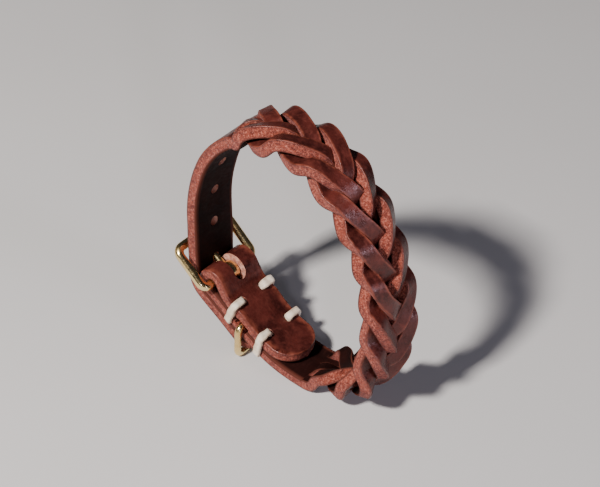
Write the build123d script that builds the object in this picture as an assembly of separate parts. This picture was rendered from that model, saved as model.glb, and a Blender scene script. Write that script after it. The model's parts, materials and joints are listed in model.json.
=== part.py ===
from build123d import *
import os
from math import asin, cos, degrees, radians, sin, sqrt, tan, tanh

# A braided leather bracelet with a pin buckle, stood on its rim as a closed ring.
# Sections are drawn in the XZ plane about the buckle's heel bar, which runs along Y at x = 0, z = 0.
# Every finished piece is then shifted so that the origin is the middle of the ring's footprint.

# ---- leather strap ----
STRAP_WIDTH = 13.0
TIP_THICKNESS = 3.0          # the perforated end
END_THICKNESS = 2.7          # the buckle end, skived thinner so that it can fold
LAYER_GAP = 0.3              # between the folded-back end and the strap under it
TAIL_GAP = 0.2               # between the strap and the free tail outside it

# ---- brass ----
FRAME_WIRE = 2.2             # wire diameter of the buckle frame
FRAME_LENGTH = 11.3          # heel bar to front bar, centre to centre
FRAME_ANGLE = 138.4          # direction of the front bar from the heel bar, degrees from +X
FRAME_RAIL_Y = 8.9           # centre of each side rail
FRAME_CORNER = 1.9           # bend radius of the wire's centre line
HEEL_CLEARANCE = 0.08        # radial running clearance about the heel bar
PRONG_WIRE = 1.7
PRONG_LOOP_RADIUS = 2.4
PRONG_LOOP_WIDTH = 2.4
PRONG_OVERHANG = 1.6         # past the middle of the front bar
PRONG_PLAY = 9.0             # degrees that the prong can swing with the frame
PRONG_REST_GAP = 0.2         # between the prong and the front bar
PRONG_CLEARANCE = 0.2        # radial, about the prong in its hole
PRONG_BORES = 4              # overlapping bores that stretch the hole for the prong's swing
KEEPER_WIRE = 1.7
KEEPER_CORNER = 1.6
KEEPER_SIDE_GAP = 0.3        # between each side of the loop and the strap's edge
KEEPER_TRAVEL = 0.8          # each way along the strap
KEEPER_LEAN = 33.0           # degrees; its outer bar hangs lower than its inner bar
KEEPER_REST_GAP = 0.15       # between its outer bar and the tail
KEEPER_BAR_CLEARANCE = 0.15  # about its inner bar

# ---- layout along the buckle end, measured from the heel bar ----
SLOPE = 36.0                 # fall of the buckle end below horizontal, degrees
STRAIGHT_LENGTH = 13.7       # straight part before the strap curves on to the floor
FLOOR_RADIUS = 30.0          # of that curve, at the strap's centre line
LACE_STATIONS = (7.6, 18.0)
KEEPER_STATION = 12.2
TONGUE_STATION = 29.3        # end of the folded-back leather
TONGUE_CORNER = 6.2
TAIL_STATION = 18.2          # end of the free tail
TAIL_CORNER = 4.0
FOLD_PINCH = 25.0            # degrees by which the fold closes past parallel
PINCH_RADIUS = 6.0
SLOT_REACH = 3.6             # of the prong slot, beyond the heel bar
SLOT_WIDTH = 3.4

# ---- lacing ----
LACE_WIDTH = 2.0
LACE_THICKNESS = 1.0
LACE_HOLE_Y = 3.3
LACE_HOLE_RADIUS = 1.25
LACE_DENT = 0.9              # how deep the lace sits in the strap's outer face
LACE_CLEARANCE = 0.05

# ---- perforations ----
HOLE_RADIUS = 1.2
HOLE_PITCH = 9.8
HOLES_ABOVE_BUCKLE = 3
HOLES_IN_TAIL = 1

# ---- the ring beyond the buckle: radius and turn of each tangent arc, from the floor round to the top ----
RING_ARCS = ((22.0, 14), (17.5, 56), (40.0, 24), (54.0, 16), (38.9, 30), (19.4, 36), (22.4, 24),
             (25.3, 46), (42.3, 24))

# ---- braid ----
BRAID_LENGTH = 102.7         # of the slits, from where the ring arcs begin
STRANDS = 5
STRAND_WIDTH = 2.6
STRAND_THICKNESS = 1.9
BRAID_PERIOD = 48.0          # length in which one strand crosses over and back
BRAID_REACH = 5.6            # of a strand's centre each side of the middle
BRAID_DEPTH = 1.85           # of a strand's centre above or below the middle
BRAID_PHASE = 4.0            # degrees, at the start of the slits
DEPTH_LEAD = 5.0             # degrees of phase by which it changes layer before it turns back
BRAID_FADE = 5.5             # length over which side-by-side strands spread into the braid
DEPTH_FADE = 3.0             # length over which they part into an outer and an inner layer
FLOOR_LIFT = 1.9             # rise of the braid's middle where it lies on the floor
LIFT_LENGTH = 9.0            # of braid on the floor, and again over which the lift fades
STRAND_SECTIONS = 45
TANGENT_STEP = 0.5           # each way along the strap, for a strand's direction
EDGE_SHARPNESS = 0.09        # share of the third harmonic, which straightens a strand between its turns
LAYER_SHARPNESS = 2.2        # how abruptly a strand changes layer
SLIT_GAP = 0.1               # between strands where they leave the solid strap

CUT_LENGTH = 20.0            # of the tools that cut holes, longer than any thickness here


def polar(radius, angle):
    """Point at a distance and an angle in degrees, in the XZ plane."""
    return radius * cos(radians(angle)), radius * sin(radians(angle))


def at(x, z, y=0.0):
    return Vector(x, y, z)


def smooth(value):
    """Smooth step from 0 to 1."""
    value = min(max(value, 0.0), 1.0)
    return value * value * (3.0 - 2.0 * value)


class Route:
    """A chain of straight runs and tangent arcs in the XZ plane, walked by arc length."""

    def __init__(self, x, z, heading):
        self.start = (x, z, heading)
        self.pieces = []

    def run(self, length):
        self.pieces.append((length, 0.0))
        return self

    def arc(self, radius, turn):
        """Turn by so many degrees; a left turn is positive."""
        self.pieces.append((radius * radians(abs(turn)), turn))
        return self

    @property
    def length(self):
        return sum(piece[0] for piece in self.pieces)

    def state(self, distance):
        """Place and heading at a distance along the route."""
        x, z, heading = self.start
        for length, turn in self.pieces:
            part = min(max(distance, 0.0), length)
            if part > 0.0:
                bend = turn * part / length
                chord = part
                if bend:
                    chord = 2.0 * part / radians(bend) * sin(radians(bend) / 2.0)
                dx, dz = polar(chord, heading + bend / 2.0)
                x, z, heading = x + dx, z + dz, heading + bend
            distance -= length
            if distance <= 0.0:
                break
        return x, z, heading

    def beside(self, distance, offset):
        """Point beside the route; a positive offset is to the left of its heading."""
        x, z, heading = self.state(distance)
        dx, dz = polar(offset, heading + 90.0)
        return x + dx, z + dz

    def wire(self, first, last, offset=0.0):
        """The stretch between two distances as lines and arcs, moved sideways by the offset."""
        edges = []
        walked = 0.0
        for length, turn in self.pieces:
            begin, end = max(first, walked), min(last, walked + length)
            if end - begin > 1e-6:
                a, middle, b = (self.beside(d, offset) for d in (begin, (begin + end) / 2.0, end))
                if turn:
                    edges.append(Edge.make_three_point_arc(at(*a), at(*middle), at(*b)))
                else:
                    edges.append(Edge.make_line(at(*a), at(*b)))
            walked += length
        return edges


def ribbon(route, first, last, thickness, width=STRAP_WIDTH):
    """A strip of leather of constant thickness that follows a stretch of a route."""
    inner = route.wire(first, last, thickness / 2.0)
    outer = route.wire(first, last, -thickness / 2.0)
    ends = [Edge.make_line(at(*route.beside(d, thickness / 2.0)), at(*route.beside(d, -thickness / 2.0)))
            for d in (first, last)]
    section = Face(Wire(inner + outer + ends))
    return extrude(section.moved(Location((0, -width / 2.0, 0))), amount=width, dir=(0, 1, 0))


def place(route, distance, inward=0.0):
    """Location on a route with X along its heading and Z towards the ring's middle."""
    x, z, heading = route.state(distance)
    dx, dz = polar(inward, heading + 90.0)
    return Location((x + dx, 0, z + dz), (0, -heading, 0))


def wire_ring(width, height, corner, wire):
    """A closed ring of round wire in the local XY plane, centred on the origin."""
    path = Wire(RectangleRounded(width, height, corner).edges())
    start = path.position_at(0)
    section = Plane(origin=start, z_dir=path.tangent_at(0)) * Circle(wire / 2.0)
    return sweep(section, path=path)


# ---- routes ----
fold_radius = FRAME_WIRE / 2.0 + HEEL_CLEARANCE + END_THICKNESS / 2.0
tip_radius = fold_radius + END_THICKNESS / 2.0 + TAIL_GAP + TIP_THICKNESS / 2.0

# The flat run on the floor is as long as it takes to bring the tip down beside the fold.
ring_arcs = Route(0.0, 0.0, 0.0)
for arc_radius, arc_turn in RING_ARCS:
    ring_arcs.arc(arc_radius, arc_turn)
arcs_x, arcs_z, _ = ring_arcs.state(ring_arcs.length)
body_route = Route(*polar(fold_radius, -SLOPE - 90.0), -SLOPE).run(STRAIGHT_LENGTH).arc(FLOOR_RADIUS, SLOPE)
floor_run = -tip_radius - arcs_x - body_route.state(body_route.length)[0]
body_route.run(floor_run)
body_x, body_z, body_heading = body_route.state(body_route.length)
side_z = body_z + arcs_z

# The tip runs from the braid over the top, down the side, round the heel bar and along under the buckle end.
tip_route = Route(body_x, body_z, body_heading)
for arc_radius, arc_turn in RING_ARCS:
    tip_route.arc(arc_radius, arc_turn)
tip_route.run(side_z).arc(tip_radius, 90.0 - SLOPE).run(TAIL_STATION)

# The folded-back layer leaves the heel bar at an angle until it lies LAYER_GAP above the strap.
layer_pitch = END_THICKNESS + LAYER_GAP
fold_drop = (fold_radius * (1.0 + cos(radians(FOLD_PINCH))) - layer_pitch
             - PINCH_RADIUS * (1.0 - cos(radians(FOLD_PINCH))))
pinch_run = fold_drop / sin(radians(FOLD_PINCH))
pinch_end = (fold_radius + PINCH_RADIUS) * sin(radians(FOLD_PINCH)) + pinch_run * cos(radians(FOLD_PINCH))
tongue_turn = degrees((TONGUE_STATION - STRAIGHT_LENGTH) / FLOOR_RADIUS)
end_route = (Route(body_x, body_z, 180.0).run(floor_run).arc(FLOOR_RADIUS, -SLOPE).run(STRAIGHT_LENGTH)
             .arc(fold_radius, -180.0 - FOLD_PINCH).run(pinch_run).arc(PINCH_RADIUS, FOLD_PINCH)
             .run(STRAIGHT_LENGTH - pinch_end).arc(FLOOR_RADIUS - layer_pitch, tongue_turn))

prong_lift = degrees(asin((FRAME_WIRE / 2.0 + PRONG_WIRE / 2.0 + PRONG_REST_GAP) / FRAME_LENGTH))
prong_angle = FRAME_ANGLE + prong_lift
prong_hole_z = -tip_radius * tan(radians(prong_angle))
prong_hole_at = ring_arcs.length + side_z - prong_hole_z


def rounded_end(location, radius, thickness):
    """The leather to cut away where a strip ends in two rounded corners, ahead of the location."""
    square = Pos(-radius / 2.0, 0, 0) * Box(radius, STRAP_WIDTH, thickness + LAYER_GAP)
    keep = Box(2.0 * radius, STRAP_WIDTH - 2.0 * radius, CUT_LENGTH)
    for side in (-1, 1):
        keep += Pos(-radius, side * (STRAP_WIDTH / 2.0 - radius), 0) * Cylinder(radius, CUT_LENGTH)
    return location * (square - keep)


def lace_band(clearance=0.0):
    """The lace's run across the strap's outer face, level with the strap's middle at Z = 0."""
    thickness = LACE_THICKNESS + clearance
    middle = -END_THICKNESS / 2.0 + LACE_DENT - thickness / 2.0 + clearance
    length = STRAP_WIDTH + 2.0 * (LACE_THICKNESS + LACE_CLEARANCE)
    return Pos(0, 0, middle) * Box(LACE_WIDTH + clearance, length, thickness)


def make_buckle_end():
    """Strap, fold round the heel bar and folded-back tongue, cut from one strip."""
    leather = ribbon(end_route, 0.0, end_route.length, END_THICKNESS)
    leather -= rounded_end(place(end_route, end_route.length), TONGUE_CORNER, END_THICKNESS)
    slot_end = SLOT_REACH - SLOT_WIDTH / 2.0
    slot = Pos(slot_end - SLOT_REACH, 0, 0) * Box(2.0 * SLOT_REACH, SLOT_WIDTH, CUT_LENGTH)
    slot += Pos(slot_end, 0, 0) * Cylinder(SLOT_WIDTH / 2.0, CUT_LENGTH)
    leather -= Location((0, 0, 0), (0, SLOPE, 0)) * slot
    for station in LACE_STATIONS:
        for side in (-1, 1):
            hole = Pos(0, side * LACE_HOLE_Y, 0) * Cylinder(LACE_HOLE_RADIUS, CUT_LENGTH)
            leather -= place(body_route, station) * hole
        leather -= place(body_route, station) * lace_band(2.0 * LACE_CLEARANCE)
    room = KEEPER_WIRE + 2.0 * KEEPER_BAR_CLEARANCE
    groove = Box(room + 2.0 * KEEPER_TRAVEL, STRAP_WIDTH, room)
    leather -= place(body_route, KEEPER_STATION, layer_pitch / 2.0) * groove
    return leather


def make_tip_end():
    """The perforated end, from the braid to the free tail."""
    leather = ribbon(tip_route, BRAID_LENGTH, tip_route.length, TIP_THICKNESS)
    leather -= rounded_end(place(tip_route, tip_route.length), TAIL_CORNER, TIP_THICKNESS)
    for count in range(-HOLES_ABOVE_BUCKLE, HOLES_IN_TAIL + 1):
        if count == 0:
            continue
        hole = Cylinder(HOLE_RADIUS, 2.0 * TIP_THICKNESS)
        leather -= place(tip_route, prong_hole_at + count * HOLE_PITCH) * hole
    for step in range(PRONG_BORES):
        angle = prong_angle + step * PRONG_PLAY / (PRONG_BORES - 1)
        bore = Pos(0, 0, tip_radius) * Cylinder(PRONG_WIRE / 2.0 + PRONG_CLEARANCE, 3.0 * TIP_THICKNESS)
        leather -= Location((0, 0, 0), (0, 90.0 - angle, 0)) * bore
    return leather


def strand_phase(strand, distance):
    return radians(BRAID_PHASE + 360.0 * (strand / STRANDS + distance / BRAID_PERIOD))


def strand_slot(strand, distance):
    """Where a strand lies across the strap when the strands are side by side."""
    order = sorted(range(STRANDS), key=lambda other: cos(strand_phase(other, distance)))
    return (order.index(strand) - (STRANDS - 1) / 2.0) * STRAP_WIDTH / STRANDS


def strand_point(strand, distance):
    """Centre of a strand: it lies outermost while it crosses from the middle to an edge."""
    phase = strand_phase(strand, distance)
    across = BRAID_REACH * (cos(phase) + EDGE_SHARPNESS * cos(3.0 * phase)) / (1.0 + EDGE_SHARPNESS)
    layer = sin(2.0 * phase + radians(DEPTH_LEAD))
    inward = BRAID_DEPTH * tanh(LAYER_SHARPNESS * layer) / tanh(LAYER_SHARPNESS)
    from_end = min(distance, BRAID_LENGTH - distance)
    braided = smooth(from_end / BRAID_FADE)
    layered = smooth(from_end / DEPTH_FADE)
    flat = strand_slot(strand, 0.0 if distance < BRAID_LENGTH / 2.0 else BRAID_LENGTH)
    lift = FLOOR_LIFT * smooth(distance / DEPTH_FADE) * (1.0 - smooth(distance / LIFT_LENGTH - 1.0))
    x, z = tip_route.beside(distance, inward * layered + lift)
    return Vector(x, flat + (across - flat) * braided, z)


def make_strand(strand):
    """A strip of the slit strap, lofted through sections square to its own path."""
    sections = []
    for step in range(STRAND_SECTIONS):
        distance = BRAID_LENGTH * step / (STRAND_SECTIONS - 1)
        centre = strand_point(strand, distance)
        heading = tip_route.state(distance)[2]
        inward = Vector(-sin(radians(heading)), 0, cos(radians(heading)))
        if 0 < step < STRAND_SECTIONS - 1:
            ahead = strand_point(strand, distance + TANGENT_STEP)
            behind = strand_point(strand, distance - TANGENT_STEP)
            along = (ahead - behind).normalized()
        else:
            along = Vector(cos(radians(heading)), 0, sin(radians(heading)))
        across = inward.cross(along).normalized()
        up = along.cross(across)
        braided = smooth(min(distance, BRAID_LENGTH - distance) / BRAID_FADE)
        flat_width = STRAP_WIDTH / STRANDS - SLIT_GAP
        half_width = (flat_width + (STRAND_WIDTH - flat_width) * braided) / 2.0
        corners = [centre + across * (half_width * i) + up * (STRAND_THICKNESS / 2.0 * j)
                   for i, j in ((1, 1), (-1, 1), (-1, -1), (1, -1))]
        sections.append(Wire.make_polygon(corners, close=True))
    return Solid.make_loft(sections, ruled=True)


def make_frame():
    """Rectangular buckle frame bent from one length of wire; its heel bar lies on the Y axis."""
    ring = wire_ring(FRAME_LENGTH, 2.0 * FRAME_RAIL_Y, FRAME_CORNER, FRAME_WIRE)
    return Location((0, 0, 0), (0, -FRAME_ANGLE, 0)) * (Pos(FRAME_LENGTH / 2.0, 0, 0) * ring)


def make_prong():
    """Prong with a flat loop that turns on the heel bar and a pin that rests on the front bar."""
    reach = sqrt(FRAME_LENGTH ** 2 - (FRAME_LENGTH * sin(radians(prong_lift))) ** 2) + PRONG_OVERHANG
    root = (FRAME_WIRE / 2.0 + HEEL_CLEARANCE + PRONG_LOOP_RADIUS) / 2.0
    loop = Rot(90, 0, 0) * (Cylinder(PRONG_LOOP_RADIUS, PRONG_LOOP_WIDTH)
                            - Cylinder(FRAME_WIRE / 2.0 + HEEL_CLEARANCE, 2.0 * PRONG_LOOP_WIDTH))
    from_root = (Align.CENTER, Align.CENTER, Align.MIN)
    pin = Rot(0, 90, 0) * Cylinder(PRONG_WIRE / 2.0, reach - root, align=from_root)
    prong = loop + Pos(root, 0, 0) * pin + Pos(reach, 0, 0) * Sphere(PRONG_WIRE / 2.0)
    return Location((0, 0, 0), (0, -prong_angle, 0)) * prong


def make_keeper():
    """Wire loop round the strap and the tail, its inner bar held under the folded-back leather."""
    inner_bar = layer_pitch / 2.0
    outer_bar = -END_THICKNESS / 2.0 - TAIL_GAP - TIP_THICKNESS - KEEPER_REST_GAP - KEEPER_WIRE / 2.0
    length = (inner_bar - outer_bar) / cos(radians(KEEPER_LEAN))
    width = STRAP_WIDTH + 2.0 * KEEPER_SIDE_GAP + KEEPER_WIRE
    ring = wire_ring(length, width, KEEPER_CORNER, KEEPER_WIRE)
    hanging = Rot(0, -KEEPER_LEAN, 0) * Pos(0, 0, -length / 2.0) * Rot(0, 90, 0) * ring
    return place(body_route, KEEPER_STATION, inner_bar) * hanging


def make_lace(station):
    """A flat thong wrapped round the strap's outer face, its two ends turned down through holes."""
    inner_face = layer_pitch + END_THICKNESS / 2.0 + LACE_CLEARANCE
    outer_face = -END_THICKNESS / 2.0 + LACE_DENT - LACE_THICKNESS
    top = inner_face + LACE_THICKNESS
    edge = STRAP_WIDTH / 2.0 + LACE_CLEARANCE
    lace = lace_band()
    for side in (-1, 1):
        lace += (Pos(0, side * (edge + LACE_THICKNESS / 2.0), (outer_face + top) / 2.0)
                 * Box(LACE_WIDTH, LACE_THICKNESS, top - outer_face))
        run = edge + LACE_THICKNESS - (LACE_HOLE_Y - LACE_THICKNESS / 2.0)
        lace += (Pos(0, side * (edge + LACE_THICKNESS - run / 2.0), inner_face + LACE_THICKNESS / 2.0)
                 * Box(LACE_WIDTH, run, LACE_THICKNESS))
        lace += (Pos(0, side * LACE_HOLE_Y, (outer_face + top) / 2.0)
                 * Box(LACE_WIDTH, LACE_THICKNESS, top - outer_face))
    return place(body_route, station) * lace


pieces = {
    "strap_buckle_end": make_buckle_end(),
    "strap_tip_end": make_tip_end(),
    "buckle_frame": make_frame(),
    "buckle_prong": make_prong(),
    "keeper_loop": make_keeper(),
}
for number in range(STRANDS):
    pieces[f"braid_strand_{number + 1}"] = make_strand(number)
for number, lace_station in enumerate(LACE_STATIONS):
    pieces[f"lace_{number + 1}"] = make_lace(lace_station)

# The origin is the middle of the ring's footprint, on the floor.
boxes = [piece.bounding_box() for piece in pieces.values()]
low = Vector(*(min(getattr(box.min, axis) for box in boxes) for axis in "XYZ"))
high = Vector(*(max(getattr(box.max, axis) for box in boxes) for axis in "XYZ"))
shift = Location((-(low.X + high.X) / 2.0, -(low.Y + high.Y) / 2.0, -low.Z))

os.makedirs("parts", exist_ok=True)
for name, piece in pieces.items():
    export_step(piece.moved(shift), f"parts/{name}.step")
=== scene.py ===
# A braided leather bracelet with a pin buckle, stood on its rim on a pale floor.
import bmesh
import bpy
import json
from math import asin, cos, degrees, exp, hypot, pi, radians, sin, sqrt, tan, tanh
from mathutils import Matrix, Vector, noise


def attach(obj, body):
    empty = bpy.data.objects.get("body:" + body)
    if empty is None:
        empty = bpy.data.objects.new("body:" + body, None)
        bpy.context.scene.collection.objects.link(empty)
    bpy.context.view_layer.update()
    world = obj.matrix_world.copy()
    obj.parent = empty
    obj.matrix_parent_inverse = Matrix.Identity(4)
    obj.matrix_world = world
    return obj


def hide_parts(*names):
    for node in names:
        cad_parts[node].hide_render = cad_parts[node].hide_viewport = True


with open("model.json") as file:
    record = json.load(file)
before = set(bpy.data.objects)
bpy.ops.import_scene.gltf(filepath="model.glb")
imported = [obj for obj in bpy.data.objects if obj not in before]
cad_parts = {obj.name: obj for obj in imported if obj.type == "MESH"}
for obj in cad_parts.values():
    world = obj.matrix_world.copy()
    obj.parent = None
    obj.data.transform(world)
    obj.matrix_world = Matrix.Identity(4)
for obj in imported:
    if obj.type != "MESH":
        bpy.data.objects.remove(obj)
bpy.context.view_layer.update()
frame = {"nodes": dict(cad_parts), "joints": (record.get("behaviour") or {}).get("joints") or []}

MM = 0.001                   # lengths below are in millimetres
HINGE = next(joint for joint in frame["joints"] if joint["name"] == "frame_hinge")
HEEL = Vector(HINGE["pos_m"]) / MM     # middle of the buckle's heel bar

# ---- leather strap ----
STRAP_WIDTH = 13.0
TIP_THICKNESS = 3.0
END_THICKNESS = 2.7
LAYER_GAP = 0.3              # between the folded-back leather and the strap under it
TAIL_GAP = 0.2
EDGE_ROUNDING = 0.42
SEAM_OVERLAP = 0.6           # by which each strand is tucked into the solid strap
SLIT_GAP = 0.06              # between strands where they leave the solid strap
EDGE_WAVER = 0.10            # unevenness of the strap's cut edges
FACE_WAVER = 0.07            # and of its faces
TONGUE_LIFT = 0.55           # rise of the tongue's tip above the strap
TONGUE_LIFT_LENGTH = 9.0

# ---- brass ----
FRAME_WIRE = 2.2
FRAME_LENGTH = 11.3
HEEL_CLEARANCE = 0.08
PRONG_WIRE = 1.7
PRONG_REST_GAP = 0.2
FRAME_ANGLE = 138.4
PRONG_PLAY = 9.0

# ---- layout along the buckle end, from the heel bar ----
SLOPE = 36.0
STRAIGHT_LENGTH = 13.7
FLOOR_RADIUS = 30.0
LACE_STATIONS = (7.6, 18.0)
KEEPER_STATION = 12.2
KEEPER_DENT = 0.25           # how far the keeper presses the folded-back leather up
KEEPER_DENT_REACH = 1.5
GROOVE_HALF_LENGTH = 1.95    # of the channel for its inner bar
GROOVE_HALF_DEPTH = 1.08
TONGUE_STATION = 29.3
TONGUE_CORNER = 6.2
TAIL_STATION = 18.2
TAIL_CORNER = 4.0
FOLD_PINCH = 25.0
PINCH_RADIUS = 6.0
SLOT_REACH = 3.6
SLOT_WIDTH = 3.4
SLOT_OPEN = 9.0              # how far the slot's cutter runs out past the fold
CUT_LENGTH = 12.0            # of the tools that cut the slot and the lace holes

# ---- lacing ----
LACE_WIDTH = 2.0
LACE_THICKNESS = 0.95
LACE_HOLE_Y = 3.7
LACE_HOLE_RADIUS = 1.25
LACE_RIM_SINK = 0.14         # how far the lace draws its hole's rim down
LACE_RIM_REACH = 0.7
LACE_REST_GAP = 0.10         # over the folded-back leather
LACE_SIDE_GAP = 0.06         # beside the strap's edge
LACE_CREST = 0.12            # extra rise where it turns down into its hole
LACE_BEND = 0.85             # radius of its bends
LACE_DENT = 0.9
LACE_LEAN = 1.4              # how much further along the strap it lies on the outer face

# ---- perforations ----
HOLE_RADIUS = 1.2
HOLE_PITCH = 9.8
HOLE_STEPS = (-3, -2, -1, 1)
RIM_SINK = 0.16              # how far punching draws a rim down on one face
RIM_SWELL = 0.10             # and pushes it out on the other
RIM_REACH = 0.8
PRONG_CLEARANCE = 0.25       # radial, about the prong in its hole
PRONG_BORES = 5              # overlapping bores that stretch the hole for the prong's swing

# ---- ring and braid ----
RING_ARCS = ((22.0, 14), (17.5, 56), (40.0, 24), (54.0, 16), (38.9, 30), (19.4, 36), (22.4, 24),
             (25.3, 46), (42.3, 24))
BRAID_LENGTH = 102.7
STRANDS = 5
STRAND_WIDTH = 3.7
STRAND_THICKNESS = 2.9
# Degrees by which a crossing strand leans on the next one, at shares of the braid's length. Where it is
# negative the strands slope down to both edges of the band like a roof.
STRAND_ROLLS = ((0.0, 0.0), (0.12, 24.0), (0.24, 40.0), (0.37, 26.0), (0.48, -30.0), (0.64, -34.0),
                (0.78, 6.0), (0.92, 16.0), (1.0, 0.0))
BRAID_PERIOD = 48.0
BRAID_REACH = 5.45
BRAID_DEPTH = 1.75
BRAID_PHASE = 4.0
DEPTH_LEAD = 8.0             # degrees of phase by which a strand changes layer before it turns back
BRAID_FADE = (10.5, 6.0)     # at the floor and at the top, lengths over which the strands spread
DEPTH_FADE = (4.6, 3.6)      # the same, for parting into two layers
FLOOR_LIFT = 1.9
LIFT_LENGTH = 9.0
EDGE_SHARPNESS = 0.03
LAYER_SHARPNESS = 2.2
STRAND_CORNER = 0.19
WANDER = 0.16                # how far a strand strays from its even course
ROLL_WANDER = 9.0            # degrees
TANGENT_STEP = 0.3           # each way along the strap, for a strand's direction

END_STATIONS = 18            # sections over a rounded end

# Material indices on every leather piece; the hole-wall one is raw fibre painted paler as painted light.
GRAIN, CUT, FLESH, RAW_AND_LIT = 0, 1, 2, 3


# ======================= routes =======================
def polar(radius, angle):
    return radius * cos(radians(angle)), radius * sin(radians(angle))


def smooth(value):
    value = min(max(value, 0.0), 1.0)
    return value * value * (3.0 - 2.0 * value)


def mix(a, b, share):
    return a + (b - a) * share


def profile(steps, share):
    """A value that eases between steps given as (share, value)."""
    for (s0, v0), (s1, v1) in zip(steps, steps[1:]):
        if share <= s1:
            return mix(v0, v1, smooth((share - s0) / (s1 - s0)))
    return steps[-1][1]


class Route:
    """Straight runs and tangent arcs in the XZ plane about the heel bar, walked by length."""

    def __init__(self, x, z, heading):
        self.start = (x, z, heading)
        self.pieces = []

    def run(self, length):
        self.pieces.append((length, 0.0))
        return self

    def arc(self, radius, turn):
        self.pieces.append((radius * radians(abs(turn)), turn))
        return self

    @property
    def length(self):
        return sum(piece[0] for piece in self.pieces)

    def state(self, distance):
        """Place and heading; past either end the route goes straight on."""
        x, z, heading = self.start
        if distance < 0.0:
            dx, dz = polar(distance, heading)
            return x + dx, z + dz, heading
        for length, turn in self.pieces:
            part = min(distance, length)
            if part > 0.0:
                bend = turn * part / length
                chord = 2.0 * part / radians(bend) * sin(radians(bend) / 2.0) if bend else part
                dx, dz = polar(chord, heading + bend / 2.0)
                x, z, heading = x + dx, z + dz, heading + bend
            distance -= length
            if distance <= 0.0:
                return x, z, heading
        dx, dz = polar(distance, heading)
        return x + dx, z + dz, heading

    def place(self, distance, inward=0.0, y=0.0):
        """Point beside the route, in the row frame."""
        x, z, heading = self.state(distance)
        dx, dz = polar(inward, heading + 90.0)
        return HEEL + Vector((x + dx, y, z + dz))

    def axes(self, distance):
        """Along the route, across it and towards the ring's middle."""
        heading = radians(self.state(distance)[2])
        along = Vector((cos(heading), 0, sin(heading)))
        inward = Vector((-sin(heading), 0, cos(heading)))
        return along, inward.cross(along), inward


fold_radius = FRAME_WIRE / 2.0 + HEEL_CLEARANCE + END_THICKNESS / 2.0
tip_radius = fold_radius + END_THICKNESS / 2.0 + TAIL_GAP + TIP_THICKNESS / 2.0
ring_arcs = Route(0.0, 0.0, 0.0)
for arc_radius, arc_turn in RING_ARCS:
    ring_arcs.arc(arc_radius, arc_turn)
arcs_x, arcs_z, _ = ring_arcs.state(ring_arcs.length)
body_route = Route(*polar(fold_radius, -SLOPE - 90.0), -SLOPE).run(STRAIGHT_LENGTH).arc(FLOOR_RADIUS, SLOPE)
floor_run = -tip_radius - arcs_x - body_route.state(body_route.length)[0]
body_route.run(floor_run)
body_x, body_z, body_heading = body_route.state(body_route.length)
side_z = body_z + arcs_z

tip_route = Route(body_x, body_z, body_heading)
for arc_radius, arc_turn in RING_ARCS:
    tip_route.arc(arc_radius, arc_turn)
tip_route.run(side_z).arc(tip_radius, 90.0 - SLOPE).run(TAIL_STATION)

layer_pitch = END_THICKNESS + LAYER_GAP
fold_drop = (fold_radius * (1.0 + cos(radians(FOLD_PINCH))) - layer_pitch
             - PINCH_RADIUS * (1.0 - cos(radians(FOLD_PINCH))))
pinch_run = fold_drop / sin(radians(FOLD_PINCH))
pinch_end = (fold_radius + PINCH_RADIUS) * sin(radians(FOLD_PINCH)) + pinch_run * cos(radians(FOLD_PINCH))
tongue_turn = degrees((TONGUE_STATION - STRAIGHT_LENGTH) / FLOOR_RADIUS)
end_route = (Route(body_x, body_z, 180.0).run(floor_run).arc(FLOOR_RADIUS, -SLOPE).run(STRAIGHT_LENGTH)
             .arc(fold_radius, -180.0 - FOLD_PINCH).run(pinch_run).arc(PINCH_RADIUS, FOLD_PINCH)
             .run(STRAIGHT_LENGTH - pinch_end).arc(FLOOR_RADIUS - layer_pitch, tongue_turn))

prong_rise = FRAME_WIRE / 2.0 + PRONG_WIRE / 2.0 + PRONG_REST_GAP
prong_angle = FRAME_ANGLE + degrees(asin(prong_rise / FRAME_LENGTH))
prong_hole_at = ring_arcs.length + side_z + tip_radius * tan(radians(prong_angle))
hole_places = [prong_hole_at + step * HOLE_PITCH for step in HOLE_STEPS]


# ======================= mesh building =======================
def section_loop(half_width, half_height, corner, face_steps, side_steps, corner_steps=4):
    """A rounded rectangle as (across, up, share of the face, face below or after it)."""
    corner = min(corner, half_width * 0.9, half_height * 0.9)
    flat, tall = half_width - corner, half_height - corner
    loop = []

    def straight(x0, y0, x1, y1, steps, face):
        for step in range(steps):
            share = step / steps
            loop.append((mix(x0, x1, share), mix(y0, y1, share), 2.0 * share - 1.0, face))

    def bend(cx, cy, start, face):
        for step in range(corner_steps):
            dx, dy = polar(corner, start + 90.0 * step / corner_steps)
            loop.append((cx + dx, cy + dy, 1.0, face))

    straight(-flat, -half_height, flat, -half_height, face_steps, GRAIN)
    bend(flat, -tall, -90.0, GRAIN)
    straight(half_width, -tall, half_width, tall, side_steps, CUT)
    bend(flat, tall, 0.0, FLESH)
    straight(flat, half_height, -flat, half_height, face_steps, FLESH)
    bend(-flat, tall, 90.0, FLESH)
    straight(-half_width, tall, -half_width, -tall, side_steps, CUT)
    bend(-flat, -tall, 180.0, GRAIN)
    return loop


def make_object(name, points, faces, face_kinds, face_coords, materials):
    mesh = bpy.data.meshes.new(name)
    mesh.from_pydata([Vector(point) * MM for point in points], [], faces)
    for material in materials:
        mesh.materials.append(material)
    layer = mesh.uv_layers.new(name="strip")
    for polygon, kind, coords in zip(mesh.polygons, face_kinds, face_coords):
        polygon.material_index = kind
        polygon.use_smooth = True
        for loop_index, coord in zip(polygon.loop_indices, coords):
            layer.data[loop_index].uv = coord
    shell = bmesh.new()
    shell.from_mesh(mesh)
    bmesh.ops.recalc_face_normals(shell, faces=shell.faces)
    shell.to_mesh(mesh)
    shell.free()
    made = bpy.data.objects.new(name, mesh)
    bpy.context.scene.collection.objects.link(made)
    return made


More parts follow.
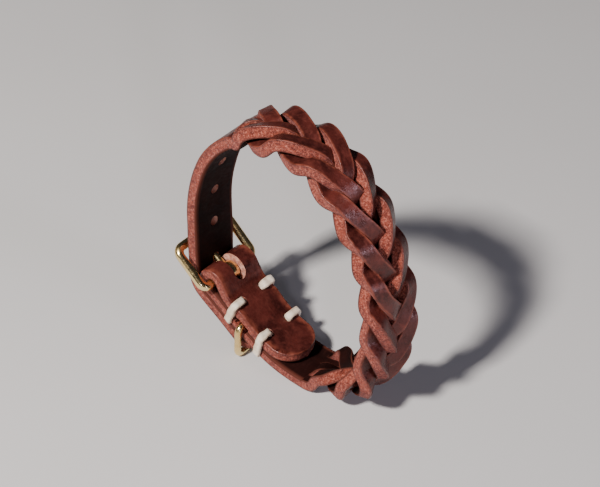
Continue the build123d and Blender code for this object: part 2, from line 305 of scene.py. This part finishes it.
def sweep(name, stations, materials, shape=None):
    """Skins sections into a closed strip. A station is (distance, centre, across, up, loop); shape(distance,
    across, up) may return how far a point of the faces moves along up."""
    points, faces, kinds, coords = [], [], [], []
    count = len(stations[0][4])
    for distance, centre, across, up, loop in stations:
        for a, b, _, _ in loop:
            rise = shape(distance, a, b) if shape else 0.0
            points.append(centre + across * a + up * (b + rise))
    for row in range(len(stations) - 1):
        v0, v1 = stations[row][0] / 10.0, stations[row + 1][0] / 10.0
        for i in range(count):
            j = (i + 1) % count
            faces.append((row * count + i, (row + 1) * count + i, (row + 1) * count + j, row * count + j))
            here, after = stations[row][4][i], stations[row][4][j]
            kinds.append(here[3])
            u0 = here[2]
            u1 = after[2] if after[3] == here[3] and after[2] > here[2] else 1.0
            coords.append(((u0, v0), (u0, v1), (u1, v1), (u1, v0)))
    for row, flip in ((0, False), (len(stations) - 1, True)):
        ring = [row * count + i for i in range(count)]
        faces.append(ring[::-1] if flip else ring)
        kinds.append(CUT)
        coords.append([(0.0, stations[row][0] / 10.0)] * count)
    faces = [face[::-1] for face in faces]
    coords = [list(coord)[::-1] for coord in coords]
    return make_object(name, points, faces, kinds, coords, materials)


def cut(piece, cutters):
    """Takes the cutters out of a piece; the cut walls keep the cutters' material."""
    for cutter in cutters:
        modifier = piece.modifiers.new("cut", "BOOLEAN")
        modifier.operation = "DIFFERENCE"
        modifier.solver = "EXACT"
        modifier.object = cutter
    bpy.context.view_layer.update()
    graph = bpy.context.evaluated_depsgraph_get()
    mesh = bpy.data.meshes.new_from_object(piece.evaluated_get(graph))
    piece.modifiers.clear()
    old = piece.data
    piece.data = mesh
    bpy.data.meshes.remove(old)
    for cutter in cutters:
        data = cutter.data
        bpy.data.objects.remove(cutter)
        bpy.data.meshes.remove(data)
    for polygon in piece.data.polygons:
        polygon.use_smooth = True
    sharpen(piece)
    return piece


def sharpen(piece, angle=38.0):
    """Keeps corners sharper than the angle crisp under smooth shading."""
    piece.data.set_sharp_from_angle(angle=radians(angle))


def cutter_tube(centre, axis, outline, length, materials):
    """A prism with the outline (pairs across two directions) about an axis."""
    axis = axis.normalized()
    side = Vector((0, 1, 0))
    other = axis.cross(side).normalized()
    points, faces = [], []
    for end in (-0.5, 0.5):
        points += [centre + axis * length * end + side * y + other * x for x, y in outline]
    n = len(outline)
    faces = [(i, (i + 1) % n, n + (i + 1) % n, n + i) for i in range(n)]
    faces += [tuple(range(n))[::-1], tuple(range(n, 2 * n))]
    # Cut walls take the hole-wall leather: raw fibre painted paler as painted light.
    kinds = [RAW_AND_LIT] * len(faces)
    coords = [[(0.0, 0.0)] * len(face) for face in faces]
    tool = make_object("cutter", points, faces, kinds, coords, materials)
    tool.hide_render = True
    return tool


def circle(radius, steps=40):
    return [polar(radius, 360.0 * step / steps) for step in range(steps)]


def slot_outline(first, last, radius, steps=16):
    """A round-ended slot from first to last along its length."""
    right = [polar(radius, -90.0 + 180.0 * step / steps) for step in range(steps + 1)]
    left = [polar(radius, 90.0 + 180.0 * step / steps) for step in range(steps + 1)]
    return [(last + x, y) for x, y in right] + [(first + x, y) for x, y in left]


def spaced(first, last, step, fine_end=0.0):
    """Distances along a strip, closer together over the last stretch where it is rounded off."""
    count = max(2, int((last - fine_end - first) / step))
    values = [mix(first, last - fine_end, i / count) for i in range(count)]
    if fine_end:
        values += [last - fine_end * cos(pi / 2.0 * i / END_STATIONS) for i in range(END_STATIONS)]
    return values + [last - (0.002 if fine_end else 0.0)]


def end_width(from_tip, corner):
    """Half width of a strip near an end with two rounded corners."""
    if from_tip >= corner:
        return STRAP_WIDTH / 2.0
    return STRAP_WIDTH / 2.0 - corner + sqrt(max(corner ** 2 - (corner - from_tip) ** 2, 0.0004))


def bell(away, reach):
    """1 at no distance, fading to nothing past the reach."""
    return exp(-(away / reach) ** 2)


def ripple(point, size, height):
    """Slow, seeded unevenness of hand-cut leather."""
    return noise.noise(point / size + Vector((3.1, 7.7, 1.9))) * height


def strap_station(route, distance, thickness, half_width, face_steps, side_steps):
    along, across, inward = route.axes(distance)
    centre = route.place(distance)
    half_width += ripple(centre, 9.0, EDGE_WAVER)
    loop = section_loop(half_width, thickness / 2.0, EDGE_ROUNDING, face_steps, side_steps)
    return distance, centre, across, inward, loop


# ======================= leather pieces =======================
def make_tip_end(materials):
    """The perforated end: down from the braid, round the heel bar and out as the free tail."""
    last = tip_route.length
    stations = []
    for distance in spaced(BRAID_LENGTH, last, 0.7, TAIL_CORNER):
        half = end_width(last - distance, TAIL_CORNER)
        stations.append(strap_station(tip_route, distance, TIP_THICKNESS, half, 22, 6))

    def shape(distance, across, up):
        """Each punched hole draws its rim in a little."""
        rise = ripple(Vector((across, distance, up * 3.0)), 5.0, 0.06)
        for place in hole_places:
            away = hypot(distance - place, across) - HOLE_RADIUS
            rise += (-RIM_SINK if up > 0 else RIM_SWELL) * bell(max(away, 0.0), RIM_REACH)
        return rise

    strap = sweep("perforated_strap", stations, materials, shape)
    cutters = []
    for place in hole_places:
        cutters.append(cutter_tube(tip_route.place(place), tip_route.axes(place)[2],
                                   circle(HOLE_RADIUS), 8.0, materials))
    for step in range(PRONG_BORES):
        angle = prong_angle + step * PRONG_PLAY / (PRONG_BORES - 1)
        dx, dz = polar(tip_radius, angle)
        axis = Vector((dx, 0, dz))
        outline = circle(PRONG_WIRE / 2.0 + PRONG_CLEARANCE, 28)
        cutters.append(cutter_tube(HEEL + axis, axis, outline, 3.0 * TIP_THICKNESS, materials))
    return cut(strap, cutters)


def make_buckle_end(materials):
    """Strap, fold round the heel bar and folded-back tongue, cut from one strip."""
    last = end_route.length
    keeper_up = last - TONGUE_STATION + KEEPER_STATION
    lace_up = [last - TONGUE_STATION + station for station in LACE_STATIONS]
    stations = []
    for distance in spaced(0.0, last, 0.55, TONGUE_CORNER):
        half = end_width(last - distance, TONGUE_CORNER)
        _, centre, across, inward, loop = strap_station(end_route, distance, END_THICKNESS, half, 20, 6)
        # Along this strip the ring's middle is on the other side, so up points away from the grain.
        stations.append((distance, centre, -across, -inward, loop))

    def shape(distance, across, up):
        rise = ripple(Vector((across, distance, up * 3.0)), 6.0, FACE_WAVER)
        over_keeper = KEEPER_DENT * bell(distance - keeper_up, KEEPER_DENT_REACH)
        for place in lace_up:
            away = hypot(distance - place, abs(across) - LACE_HOLE_Y) - LACE_HOLE_RADIUS
            if up < 0:
                rise += LACE_RIM_SINK * bell(max(away, 0.0), LACE_RIM_REACH)
        # The tongue's tip springs up a little from the strap.
        lift = TONGUE_LIFT * smooth((distance - last) / TONGUE_LIFT_LENGTH + 1.0)
        return rise - over_keeper - lift

    strap = sweep("buckle_strap", stations, materials, shape)
    cutters = []
    for station in LACE_STATIONS:
        for side in (-1, 1):
            centre = body_route.place(station, layer_pitch / 2.0, side * LACE_HOLE_Y)
            axis = body_route.axes(station)[2]
            cutters.append(cutter_tube(centre, axis, circle(LACE_HOLE_RADIUS, 32), CUT_LENGTH, materials))
    slot_end = SLOT_REACH - SLOT_WIDTH / 2.0
    axis = Vector((sin(radians(SLOPE)), 0, cos(radians(SLOPE))))
    outline = slot_outline(-SLOT_OPEN, slot_end, SLOT_WIDTH / 2.0)
    cutters.append(cutter_tube(HEEL, -axis, outline, CUT_LENGTH, materials))
    groove_at = body_route.place(KEEPER_STATION, layer_pitch / 2.0)
    cutters.append(groove(groove_at, body_route.axes(KEEPER_STATION), materials))
    return cut(strap, cutters)


def groove(centre, axes, materials):
    """A shallow channel across both layers, where the keeper's inner bar lies."""
    along, across, inward = axes
    outline = [along * GROOVE_HALF_LENGTH * i + inward * GROOVE_HALF_DEPTH * j
               for i, j in ((-1, -1), (1, -1), (1, 1), (-1, 1))]
    points = [centre + corner + across * STRAP_WIDTH * side for side in (-1, 1) for corner in outline]
    faces = [(0, 1, 2, 3), (7, 6, 5, 4), (0, 4, 5, 1), (1, 5, 6, 2), (2, 6, 7, 3), (3, 7, 4, 0)]
    tool = make_object("groove", points, faces, [CUT] * 6, [[(0.0, 0.0)] * 4] * 6, materials)
    tool.hide_render = True
    return tool


def strand_phase(strand, distance):
    return radians(BRAID_PHASE + 360.0 * (strand / STRANDS + distance / BRAID_PERIOD))


def strand_slot(strand, distance):
    order = sorted(range(STRANDS), key=lambda other: cos(strand_phase(other, distance)))
    return (order.index(strand) - (STRANDS - 1) / 2.0) * STRAP_WIDTH / STRANDS


def grown(distance, fades):
    """0 at both ends of the braid, 1 once past each end's own fade."""
    return smooth(distance / fades[0]) * smooth((BRAID_LENGTH - distance) / fades[1])


def stray(strand, distance, seed):
    """A slow, seeded value between about -1 and 1 that differs from strand to strand."""
    return 2.0 * noise.noise(Vector((distance / 11.0, 7.3 * strand, seed)))


def strand_roll(strand, distance):
    """A strand leans over on its edge as it crosses, more in some parts of the band than in others."""
    lean = profile(STRAND_ROLLS, distance / BRAID_LENGTH)
    turn = tanh(2.0 * sin(strand_phase(strand, distance))) / tanh(2.0)
    return radians(lean * turn + ROLL_WANDER * stray(strand, distance, 80.0))


def strand_point(strand, distance):
    """Centre of a strand: it lies outermost while it crosses from the middle to an edge."""
    phase = strand_phase(strand, distance)
    across = BRAID_REACH * (cos(phase) + EDGE_SHARPNESS * cos(3.0 * phase)) / (1.0 + EDGE_SHARPNESS)
    across += stray(strand, distance, 0.0) * WANDER
    layer = sin(2.0 * phase + radians(DEPTH_LEAD))
    inward = BRAID_DEPTH * tanh(LAYER_SHARPNESS * layer) / tanh(LAYER_SHARPNESS)
    inward += stray(strand, distance, 40.0) * WANDER
    flat = strand_slot(strand, 0.0 if distance < BRAID_LENGTH / 2.0 else BRAID_LENGTH)
    lift = FLOOR_LIFT * smooth(distance / DEPTH_FADE[0]) * (1.0 - smooth(distance / LIFT_LENGTH - 1.0))
    return tip_route.place(distance, inward * grown(distance, DEPTH_FADE) + lift,
                           mix(flat, across, grown(distance, BRAID_FADE)))


def make_strand(strand, materials):
    """A strip of the slit strap, woven over and under the others."""
    stations = []
    for distance in spaced(-SEAM_OVERLAP, BRAID_LENGTH + SEAM_OVERLAP, 0.45):
        centre = strand_point(strand, distance)
        inward = tip_route.axes(distance)[2]
        ahead = strand_point(strand, distance + TANGENT_STEP)
        along = (ahead - strand_point(strand, distance - TANGENT_STEP)).normalized()
        across = inward.cross(along).normalized()
        up = along.cross(across)
        braided = grown(distance, BRAID_FADE)
        roll = strand_roll(strand, distance) * braided
        across, up = across * cos(roll) + up * sin(roll), up * cos(roll) - across * sin(roll)
        solid = END_THICKNESS if distance < BRAID_LENGTH / 2.0 else TIP_THICKNESS
        half_width = mix(STRAP_WIDTH / STRANDS - SLIT_GAP, STRAND_WIDTH, braided) / 2.0
        half_height = mix(solid - 0.05, STRAND_THICKNESS, braided) / 2.0
        half_width += ripple(centre + Vector((0, 0, 9.0 * strand)), 4.0, 0.09)
        loop = section_loop(half_width, half_height, STRAND_CORNER, 10, 8)
        stations.append((distance, centre, across, up, loop))

    def shape(distance, across, up):
        return ripple(Vector((across, distance, up + 17.0 * strand)), 2.2, 0.05)

    return sweep(f"braided_strand_{strand + 1}", stations, materials, shape)


# ======================= lacing =======================
def rounded_path(corners, radius, step=0.25):
    """A polyline with its corners rounded off, as evenly spaced points."""
    points = [corners[0]]
    for before, corner, after in zip(corners, corners[1:], corners[2:]):
        reach = min(radius, (corner - before).length * 0.49, (after - corner).length * 0.49)
        a = corner + (before - corner).normalized() * reach
        b = corner + (after - corner).normalized() * reach
        for i in range(7):
            t = i / 6.0
            points.append(a * (1 - t) ** 2 + corner * 2 * t * (1 - t) + b * t * t)
    points.append(corners[-1])
    path = [points[0]]
    for a, b in zip(points, points[1:]):
        count = max(1, int((b - a).length / step))
        path += [a.lerp(b, (i + 1) / count) for i in range(count)]
    return path


def make_lace(number, station, materials):
    """A flat thong: down through two holes, out round both edges and across the strap's outer face."""
    along, across, inward = body_route.axes(station)
    middle = body_route.place(station)
    half = LACE_THICKNESS / 2.0
    top = layer_pitch + END_THICKNESS / 2.0 + half + LACE_REST_GAP
    bottom = -END_THICKNESS / 2.0 + LACE_DENT - half
    edge = STRAP_WIDTH / 2.0 + half + LACE_SIDE_GAP

    def at(y, up):
        lean = LACE_LEAN * (top - up) / (top - bottom) if abs(y) > LACE_HOLE_Y else 0.0
        return middle + across * y + inward * up + along * lean

    crest = top + LACE_CREST
    corners = [at(-LACE_HOLE_Y, 0.0), at(-LACE_HOLE_Y, crest), at(-edge, top), at(-edge, bottom),
               at(edge, bottom), at(edge, top), at(LACE_HOLE_Y, crest), at(LACE_HOLE_Y, 0.0)]
    path = rounded_path(corners, LACE_BEND)
    stations, walked = [], 0.0
    for i, point in enumerate(path):
        tangent = (path[min(i + 1, len(path) - 1)] - path[max(i - 1, 0)]).normalized()
        walked += (point - path[i - 1]).length if i else 0.0
        up = tangent.cross(along).normalized()
        wide = LACE_WIDTH / 2.0 * (1.0 + ripple(point, 1.7, 0.22))
        loop = section_loop(wide, half * (1.0 + ripple(point, 1.3, 0.18)), 0.36, 6, 3)
        stations.append((walked, point, along, up, loop))

    def shape(distance, a, b):
        return ripple(Vector((a * 2.0, distance, b * 3.0 + number)), 1.1, 0.07)

    return sweep(f"lace_thong_{number}", stations, materials, shape)


# ======================= materials =======================
class Shader:
    """A small helper that adds nodes to one material and links them."""

    def __init__(self, name):
        self.material = bpy.data.materials.new(name)
        self.material.use_nodes = True
        self.tree = self.material.node_tree
        self.surface = self.tree.nodes["Principled BSDF"]
        self.coordinates = self.tree.nodes.new("ShaderNodeTexCoord")

    def node(self, kind, **settings):
        made = self.tree.nodes.new(kind)
        for key, value in settings.items():
            setattr(made, key, value)
        return made

    def feed(self, socket, value):
        if isinstance(value, bpy.types.NodeSocket):
            self.tree.links.new(value, socket)
        else:
            socket.default_value = value

    def position(self, scale=(1.0, 1.0, 1.0)):
        mapping = self.node("ShaderNodeMapping")
        self.feed(mapping.inputs["Vector"], self.coordinates.outputs["Object"])
        mapping.inputs["Scale"].default_value = scale
        return mapping.outputs["Vector"]

    def noise(self, scale, detail=5.0, roughness=0.6, vector=None, distortion=0.0):
        made = self.node("ShaderNodeTexNoise")
        self.feed(made.inputs["Vector"], vector or self.position())
        made.inputs["Scale"].default_value = scale
        made.inputs["Detail"].default_value = detail
        made.inputs["Roughness"].default_value = roughness
        made.inputs["Distortion"].default_value = distortion
        return made.outputs["Fac"]

    def cells(self, scale, feature="F1", vector=None):
        made = self.node("ShaderNodeTexVoronoi", feature=feature)
        self.feed(made.inputs["Vector"], vector or self.position())
        made.inputs["Scale"].default_value = scale
        return made.outputs["Distance"]

    def math(self, operation, a, b=0.0, clamp=False):
        made = self.node("ShaderNodeMath", operation=operation, use_clamp=clamp)
        self.feed(made.inputs[0], a)
        self.feed(made.inputs[1], b)
        return made.outputs[0]

    def remap(self, value, low, high, start=0.0, end=1.0):
        made = self.node("ShaderNodeMapRange", interpolation_type="SMOOTHSTEP")
        for key, number in (("From Min", low), ("From Max", high), ("To Min", start), ("To Max", end)):
            made.inputs[key].default_value = number
        self.feed(made.inputs["Value"], value)
        return made.outputs["Result"]

    def blend(self, share, a, b, mode="MIX"):
        made = self.node("ShaderNodeMix", data_type="RGBA", blend_type=mode)
        self.feed(made.inputs["Factor"], share)
        self.feed(made.inputs["A"], a)
        self.feed(made.inputs["B"], b)
        return made.outputs["Result"]

    def bump(self, height, distance, strength=1.0, before=None):
        made = self.node("ShaderNodeBump")
        made.inputs["Strength"].default_value = strength
        made.inputs["Distance"].default_value = distance
        self.feed(made.inputs["Height"], height)
        if before:
            self.feed(made.inputs["Normal"], before)
        return made.outputs["Normal"]

    def edge(self):
        """0 in the middle of a face of a strip, 1 at its edges."""
        split = self.node("ShaderNodeSeparateXYZ")
        self.feed(split.inputs[0], self.coordinates.outputs["UV"])
        return self.math("ABSOLUTE", split.outputs["X"])

    def set(self, **values):
        for key, value in values.items():
            self.feed(self.surface.inputs[key.replace("_", " ")], value)
        return self.material


def rgb(red, green, blue):
    return (red, green, blue, 1.0)


def grain_leather():
    """Waxed grain side: deep red-brown, paler where it is rubbed along its edges."""
    s = Shader("leather_grain")
    cloud = s.noise(110.0, 5.0, 0.6, distortion=0.6)
    mottle = s.noise(620.0, 6.0, 0.65)
    pores = s.cells(1500.0)
    creases = s.noise(380.0, 7.0, 0.7, s.position((1.0, 2.2, 1.0)), 1.2)
    colour = s.blend(s.remap(cloud, 0.35, 0.65), rgb(0.028, 0.0058, 0.0048), rgb(0.076, 0.0155, 0.0118))
    colour = s.blend(s.remap(mottle, 0.45, 0.72, 0.0, 0.55), colour, rgb(0.125, 0.028, 0.020))
    colour = s.blend(s.remap(pores, 0.0, 0.28, 0.45, 0.0), colour, rgb(0.010, 0.0025, 0.002))
    worn = s.math("MULTIPLY", s.remap(s.edge(), 0.72, 1.0), s.remap(mottle, 0.3, 0.62))
    colour = s.blend(s.math("MULTIPLY", worn, 0.75), colour, rgb(0.190, 0.046, 0.026))
    rough = s.math("ADD", s.remap(mottle, 0.3, 0.7, 0.22, 0.42), s.math("MULTIPLY", worn, 0.14))
    normal = s.bump(pores, 0.00006, 0.55)
    normal = s.bump(creases, 0.00016, 0.6, normal)
    return s.set(Base_Color=colour, Roughness=rough, Normal=normal, Specular_IOR_Level=0.45,
                 Specular_Tint=rgb(1.0, 0.66, 0.62))


def cut_leather():
    """Cut edge: granular, orange-pink, burnished dark where it meets a face."""
    s = Shader("leather_cut_edge")
    fibre = s.noise(2100.0, 7.0, 0.8)
    clump = s.noise(800.0, 5.0, 0.7)
    crumbs = s.cells(2200.0)
    colour = s.blend(s.remap(clump, 0.35, 0.65), rgb(0.105, 0.016, 0.009), rgb(0.240, 0.048, 0.026))
    colour = s.blend(s.remap(fibre, 0.47, 0.63, 0.0, 0.75), colour, rgb(0.500, 0.165, 0.115))
    colour = s.blend(s.remap(crumbs, 0.0, 0.45, 0.88, 0.0), colour, rgb(0.045, 0.009, 0.006))
    burnish = s.remap(s.edge(), 0.72, 0.98)
    colour = s.blend(s.math("MULTIPLY", burnish, 0.66), colour, rgb(0.040, 0.008, 0.006))
    rough = s.math("SUBTRACT", 0.84, s.math("MULTIPLY", burnish, 0.3))
    height = s.math("ADD", s.math("MULTIPLY", fibre, 0.9), s.math("MULTIPLY", crumbs, 0.6))
    return s.set(Base_Color=colour, Roughness=rough, Normal=s.bump(height, 0.00035, 0.9),
                 Specular_IOR_Level=0.2, Sheen_Weight=0.07, Sheen_Roughness=0.5,
                 Sheen_Tint=rgb(0.95, 0.70, 0.78))


def raw_leather_painted_light():
    """Walls of punched holes: undyed pink-tan fibre, painted paler still as painted light shining through
    the holes.
    """
    s = Shader("leather_raw_painted_light")
    fibre = s.noise(1300.0, 7.0, 0.7)
    clump = s.noise(500.0, 4.0, 0.6)
    # Pale pink-tan: raw fibre colour, raised further as painted light shining through the holes.
    colour = s.blend(s.remap(clump, 0.35, 0.65), rgb(0.300, 0.110, 0.072), rgb(0.520, 0.270, 0.200))
    colour = s.blend(s.remap(fibre, 0.48, 0.70, 0.0, 0.6), colour, rgb(0.660, 0.420, 0.340))
    return s.set(Base_Color=colour, Roughness=0.85, Normal=s.bump(fibre, 0.00030, 0.8),
                 Specular_IOR_Level=0.2)


def flesh_leather_painted_shade():
    """Inner side: dyed almost black-brown and painted darker still as painted shade of the ring's inside,
    with a short brushed nap.
    """
    s = Shader("leather_flesh_painted_shade")
    nap = s.noise(1300.0, 8.0, 0.75, s.position((1.0, 0.45, 1.0)))
    cloud = s.noise(160.0, 4.0, 0.6)
    # Near-black base: dark dye plus painted shade, darkened against the floor's bounce light.
    colour = s.blend(s.remap(cloud, 0.35, 0.65), rgb(0.007, 0.0018, 0.0014), rgb(0.015, 0.0034, 0.0026))
    colour = s.blend(s.remap(nap, 0.5, 0.75, 0.0, 0.5), colour, rgb(0.040, 0.010, 0.007))
    worn = s.math("MULTIPLY", s.remap(s.edge(), 0.86, 1.0), 0.6)
    colour = s.blend(worn, colour, rgb(0.120, 0.032, 0.020))
    return s.set(Base_Color=colour, Roughness=s.remap(nap, 0.3, 0.7, 0.55, 0.8),
                 Normal=s.bump(nap, 0.00014, 0.7), Specular_IOR_Level=0.08)


def lace_leather():
    """Undyed pale thong, matt and slightly fibrous, soiled along its edges."""
    s = Shader("lace_thong")
    fibre = s.noise(1100.0, 7.0, 0.7)
    cloud = s.noise(330.0, 4.0, 0.6)
    colour = s.blend(s.remap(cloud, 0.35, 0.68), rgb(0.600, 0.470, 0.330), rgb(0.800, 0.710, 0.570))
    colour = s.blend(s.remap(fibre, 0.5, 0.75, 0.0, 0.5), colour, rgb(0.900, 0.850, 0.760))
    soil = s.math("MULTIPLY", s.remap(s.edge(), 0.8, 1.0), 0.45)
    colour = s.blend(soil, colour, rgb(0.360, 0.225, 0.140))
    return s.set(Base_Color=colour, Roughness=0.78, Normal=s.bump(fibre, 0.00014, 0.7), Sheen_Weight=0.2)


def brass():
    """Solid brass wire: bright where rubbed, faintly tarnished elsewhere, with fine scratches."""
    s = Shader("brass_wire")
    tarnish = s.noise(170.0, 5.0, 0.6)
    scratches = s.noise(900.0, 4.0, 0.7, s.position((1.0, 0.14, 1.0)))
    pits = s.cells(1300.0)
    colour = s.blend(s.remap(tarnish, 0.42, 0.68), rgb(0.930, 0.730, 0.360), rgb(0.760, 0.520, 0.200))
    colour = s.blend(s.remap(pits, 0.0, 0.16, 0.5, 0.0), colour, rgb(0.330, 0.190, 0.070))
    rough = s.math("ADD", s.remap(tarnish, 0.4, 0.7, 0.16, 0.30), s.remap(scratches, 0.4, 0.7, 0.0, 0.10))
    return s.set(Base_Color=colour, Metallic=1.0, Roughness=rough, Normal=s.bump(scratches, 0.00003, 0.4))


def floor_paper():
    s = Shader("floor_paper")
    tone = s.noise(9.0, 3.0, 0.5)
    return s.set(Base_Color=s.blend(tone, rgb(0.50, 0.485, 0.47), rgb(0.55, 0.535, 0.52)), Roughness=0.75)


# ======================= putting it together =======================
def give(piece, body, slot, *nodes):
    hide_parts(*nodes)
    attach(piece, body)


def build_leather():
    leather = [grain_leather(), cut_leather(), flesh_leather_painted_shade(), raw_leather_painted_light()]
    give(make_buckle_end(leather), "strap", "leather", "strap_buckle_end")
    give(make_tip_end(leather), "strap", "leather", "strap_tip_end")
    for strand in range(STRANDS):
        give(make_strand(strand, leather), "strap", "leather", f"braid_strand_{strand + 1}")


def build_laces():
    thong = [lace_leather()] * 3
    for number, station in enumerate(LACE_STATIONS, 1):
        give(make_lace(number, station, thong), "strap", "lace", f"lace_{number}")


def finish_brass():
    metal = brass()
    for name in ("buckle_frame", "buckle_prong", "keeper_loop"):
        for holder in frame["nodes"][name].material_slots:
            holder.material = metal


def area_light(name, direction, distance, size, power, colour):
    light = bpy.data.lights.new(name, "AREA")
    light.energy, light.size, light.color = power, size, colour
    lamp = bpy.data.objects.new(name, light)
    aim = Vector((0, 0, 0.03))
    lamp.location = aim + Vector(direction).normalized() * distance
    lamp.rotation_euler = (lamp.location - aim).to_track_quat("Z", "Y").to_euler()
    bpy.context.scene.collection.objects.link(lamp)


def build_studio():
    bpy.ops.mesh.primitive_plane_add(size=6.0)
    floor = bpy.context.object
    floor.name = "floor"
    floor.data.materials.append(floor_paper())
    area_light("key_light", (-0.12, -0.94, 1.0), 0.75, 0.08, 12.0, (1.0, 0.96, 0.94))
    area_light("window_light", (0.95, 0.06, 0.16), 0.8, 0.11, 2.8, (0.80, 0.80, 1.0))
    area_light("card_light", (0.72, -0.62, 0.36), 0.7, 0.06, 1.0, (0.88, 0.84, 1.0))
    world = bpy.data.worlds.new("studio")
    world.use_nodes = True
    world.node_tree.nodes["Background"].inputs["Color"].default_value = (0.82, 0.86, 1.0, 1.0)
    world.node_tree.nodes["Background"].inputs["Strength"].default_value = 0.03
    bpy.context.scene.world = world


def build_camera():
    """A long lens above the front right, some 40 cm away."""
    azimuth, elevation = radians(39.4), radians(38.3)
    aim = Vector((2.53, 0.0, 36.56)) * MM
    back = Vector((sin(azimuth) * cos(elevation), -cos(azimuth) * cos(elevation), sin(elevation)))
    data = bpy.data.cameras.new("camera")
    data.sensor_width, data.lens = 36.0, 111.8
    camera = bpy.data.objects.new("camera", data)
    camera.location = aim + back * 0.4214
    camera.rotation_euler = back.to_track_quat("Z", "Y").to_euler()
    bpy.context.scene.collection.objects.link(camera)
    bpy.context.scene.camera = camera


build_leather()
build_laces()
finish_brass()
build_studio()
build_camera()
